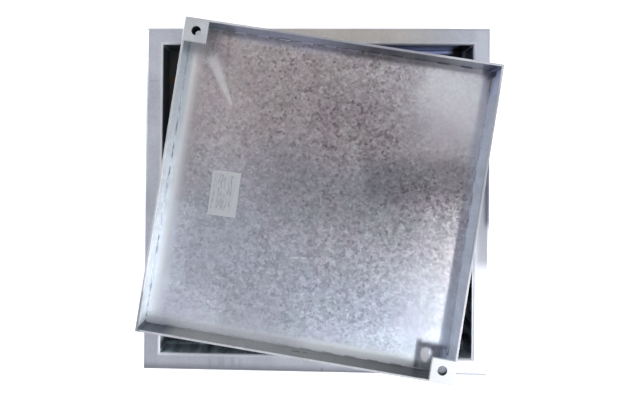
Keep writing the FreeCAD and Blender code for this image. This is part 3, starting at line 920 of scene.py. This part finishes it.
def upright_bead(name, node, turned):
    """A bead up the corner that a plain weld node fills, with its toes on the two walls there."""
    low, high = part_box(node)
    places = [vertex.co.copy() for vertex in frame["nodes"][node].data.vertices]
    if turned:
        places = [from_tray(place) for place in places]
    sign_x = 1 if "left" in node else -1
    sign_y = -1 if "back" in node else 1
    if not turned:
        sign_x, sign_y = -sign_x, -sign_y
    pick_x = min if sign_x > 0 else max
    pick_y = min if sign_y > 0 else max
    corner_x = pick_x(place.x for place in places)
    corner_y = pick_y(place.y for place in places)
    leg = max(place.x for place in places) - min(place.x for place in places)
    if turned:
        foot = on_tray(corner_x, corner_y, low.z)
        first, second = direction(sign_x, 0), direction(0, sign_y)
    else:
        foot = Vector((corner_x, corner_y, low.z))
        first, second = Vector((sign_x, 0, 0)), Vector((0, sign_y, 0))
    head = foot.copy()
    head.z = high.z
    mesh = bmesh.new()
    toe = mesh.verts.layers.float.new("toe")
    add_bead(mesh, toe, foot, head, first, second, leg)
    make_piece(name, mesh, "weld_zinc", [node])


LABEL_STEPS = (14, 22)
LABEL_CURL = 0.5 * MM
LABEL_RIPPLE = 0.05 * MM


def make_label():
    """The sticker, with slightly lifted edges."""
    vertices = frame["nodes"]["floor_label"].data.vertices
    corners = sorted(
        {tuple(round(c, 6) for c in vertex.co.xy) for vertex in vertices},
        key=lambda co: from_tray(Vector((*co, 0.0))).y,
    )
    front = sorted(corners[:2])
    back = sorted(corners[2:])
    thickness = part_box("floor_label")[1].z - FLOOR_TOP
    mesh = bmesh.new()
    layers = []
    for lift in (0.0, thickness):
        rows = []
        for j in range(LABEL_STEPS[1] + 1):
            v = j / LABEL_STEPS[1]
            row = []
            for i in range(LABEL_STEPS[0] + 1):
                u = i / LABEL_STEPS[0]
                near = Vector(front[0]).lerp(Vector(front[1]), u)
                far = Vector(back[0]).lerp(Vector(back[1]), u)
                spot = near.lerp(far, v)
                edge = max(abs(2 * u - 1) ** 6, abs(2 * v - 1) ** 8)
                ripple = LABEL_RIPPLE * math.sin(9 * u + 4 * v) * math.sin(7 * v)
                rise = LABEL_CURL * edge * (0.4 + 0.6 * (1 - v) * u) + abs(ripple) + lift
                row.append(mesh.verts.new((spot.x, spot.y, FLOOR_TOP + rise)))
            rows.append(row)
        layers.append(rows)
    wide, long = LABEL_STEPS
    for rows in layers:
        for j in range(long):
            for i in range(wide):
                mesh.faces.new((rows[j][i], rows[j][i + 1], rows[j + 1][i + 1], rows[j + 1][i]))
    rim = [(0, i) for i in range(wide)] + [(j, wide) for j in range(long)]
    rim += [(long, i) for i in range(wide, 0, -1)] + [(j, 0) for j in range(long, 0, -1)]
    for (j, i), (next_j, next_i) in zip(rim, rim[1:] + rim[:1]):
        under, over = layers
        mesh.faces.new((under[j][i], under[next_j][next_i], over[next_j][next_i], over[j][i]))
    make_piece("floor_sticker", mesh, "label_paper", ["floor_label"], smooth=False)


def make_camera():
    """The camera, with its axis as far off the picture's middle as was fitted."""
    camera = bpy.data.cameras.new("camera")
    camera.sensor_width = SENSOR_MM
    camera.lens = FOCAL_PIXELS / IMAGE_WIDTH * SENSOR_MM
    camera.shift_x = (IMAGE_WIDTH / 2 - AXIS_PIXEL[0]) / IMAGE_WIDTH
    camera.shift_y = (AXIS_PIXEL[1] - IMAGE_HEIGHT / 2) / IMAGE_WIDTH
    holder = bpy.data.objects.new("camera", camera)
    holder.location = CAMERA_PLACE
    holder.rotation_euler = [math.radians(angle) for angle in CAMERA_TURN]
    bpy.context.scene.collection.objects.link(holder)
    bpy.context.scene.camera = holder


LAMP_DISTANCE = 2.8
LAMPS = (
    # name, its way from the cover for one step up, width, length, watts, colour
    ("window", (0.50, -0.42), 0.35, 1.25, 7.4, (1.0, 1.0, 1.0)),
    ("side", (2.20, -0.90), 1.4, 1.4, 62.0, (0.95, 0.98, 1.0)),
    ("fill", (-2.20, 1.50), 1.6, 1.6, 40.0, (0.96, 0.98, 1.0)),
)


def make_lamp(name, slope, width, length, power, colour):
    """A soft rectangular lamp that faces the cover, with its length from front to back."""
    lamp = bpy.data.lights.new(name, "AREA")
    lamp.shape = "RECTANGLE"
    lamp.size = width
    lamp.size_y = length
    lamp.energy = power
    lamp.color = colour
    away = Vector((*slope, 1.0)).normalized()
    across = Vector((0, 1, 0)).cross(away).normalized()
    turn = Matrix((across, away.cross(across), away)).transposed()
    holder = bpy.data.objects.new(name, lamp)
    holder.matrix_world = Matrix.Translation(away * LAMP_DISTANCE) @ turn.to_4x4()
    bpy.context.scene.collection.objects.link(holder)


class Sky(Recipe):
    """The world's colour, made with the same helpers as the materials."""

    def __init__(self):
        world = bpy.data.worlds.new("studio")
        bpy.context.scene.world = world
        world.use_nodes = True
        self.tree = world.node_tree
        self.shader = self.tree.nodes["Background"]


SKY_BASE = (0.325, 0.310, 0.330)
SKY_LOW = (0.50, 0.52, 0.56)
GLOWS = (
    # the way of its middle for one step up, its reach, its colour
    ((-0.38, 0.05), (0.40, 0.60), (0.32, 0.35, 0.34)),
    ((0.38, 0.22), (0.33, 0.27), (0.60, 0.74, 0.82)),
    ((0.00, -0.28), (0.90, 0.32), (0.31, 0.33, 0.33)),
    ((0.22, -0.33), (0.42, 0.24), (0.40, 0.50, 0.56)),
    ((-0.05, 0.32), (0.60, 0.27), (0.38, 0.38, 0.34)),
    ((-0.40, -0.30), (0.30, 0.30), (0.10, 0.11, 0.16)),
)


def make_world():
    """Soft light: a dim room with paler patches."""
    sky = Sky()
    way = sky.add("TexCoord").outputs["Generated"]
    height = sky.math("MAXIMUM", sky.axis(way, "Z"), 0.05)
    slope_x = sky.math("DIVIDE", sky.axis(way, "X"), height)
    slope_y = sky.math("DIVIDE", sky.axis(way, "Y"), height)
    colour = sky.mix(sky.span(sky.axis(way, "Z"), 0.80, 0.55), SKY_BASE, SKY_LOW)
    for place, reach, tint in GLOWS:
        off_x = sky.math("DIVIDE", sky.math("SUBTRACT", slope_x, place[0]), reach[0])
        off_y = sky.math("DIVIDE", sky.math("SUBTRACT", slope_y, place[1]), reach[1])
        away = sky.math("MULTIPLY_ADD", off_x, off_x, sky.product(off_y, off_y))
        away = sky.math("SQRT", away)
        colour = sky.mix(sky.span(away, 1.0, 0.0, smooth=True), colour, tint, "ADD")
    sky.feed(sky.shader.inputs["Color"], colour)


GROUND_HALF = 6.0
PIT_HALF = 0.283
PIT_DEPTH = 0.35
WHITE_BOOST = 0.60


def ground_material():
    """Matt white that also shines to the camera and in reflections, so that it shows white."""
    recipe = Recipe("ground_white")
    nodes, links = recipe.tree.nodes, recipe.tree.links
    recipe.finish((0.86, 0.86, 0.87), 0.9, metallic=0.0)
    path = nodes.new("ShaderNodeLightPath")
    kinds = ("Is Camera Ray", "Is Glossy Ray", "Is Transmission Ray")
    seen = recipe.most(*[path.outputs[kind] for kind in kinds])
    glow = nodes.new("ShaderNodeEmission")
    glow.inputs["Color"].default_value = (1.0, 1.0, 1.0, 1.0)
    links.new(recipe.product(seen, WHITE_BOOST), glow.inputs["Strength"])
    both = nodes.new("ShaderNodeAddShader")
    links.new(recipe.shader.outputs[0], both.inputs[0])
    links.new(glow.outputs[0], both.inputs[1])
    links.new(both.outputs[0], nodes["Material Output"].inputs["Surface"])
    return recipe.material


def pit_shade_material():
    """The pit's walls and bottom: painted shade, nearly black with a little grit."""
    recipe = Recipe("pit_painted_shade")
    grit = recipe.noise(recipe.place(), 60.0, 4.0)
    colour = recipe.mix(grit, (0.010, 0.011, 0.013), (0.022, 0.022, 0.025))
    return recipe.finish(colour, 0.95, metallic=0.0)


def make_ground():
    """A pale ground with a dark square pit under the frame, whose near black is painted shade."""
    mesh = bmesh.new()
    rings = []
    for half, level in ((GROUND_HALF, 0.0), (PIT_HALF, 0.0), (PIT_HALF, -PIT_DEPTH)):
        ring = []
        for x, y in ((-1, -1), (1, -1), (1, 1), (-1, 1)):
            ring.append(mesh.verts.new((x * half, y * half, level)))
        rings.append(ring)
    for ring, (one, other) in enumerate(zip(rings, rings[1:])):
        for k in range(4):
            face = mesh.faces.new((one[k], one[(k + 1) % 4], other[(k + 1) % 4], other[k]))
            face.material_index = ring
    bottom = mesh.faces.new(rings[2])
    bottom.material_index = 1
    data = bpy.data.meshes.new("ground")
    mesh.to_mesh(data)
    mesh.free()
    data.materials.append(ground_material())
    data.materials.append(pit_shade_material())
    ground = bpy.data.objects.new("ground", data)
    bpy.context.scene.collection.objects.link(ground)


dress_nodes()
for side in SIDES:
    stitch_beads(side)
for corner in CORNERS:
    upright_bead("tray_corner_bead_" + corner, "tray_corner_weld_" + corner, turned=True)
    upright_bead("frame_corner_bead_" + corner, "frame_corner_weld_" + corner, turned=False)
make_label()
make_ground()
make_camera()
make_world()
for lamp in LAMPS:
    make_lamp(*lamp)

bpy.context.scene.view_settings.view_transform = "Standard"
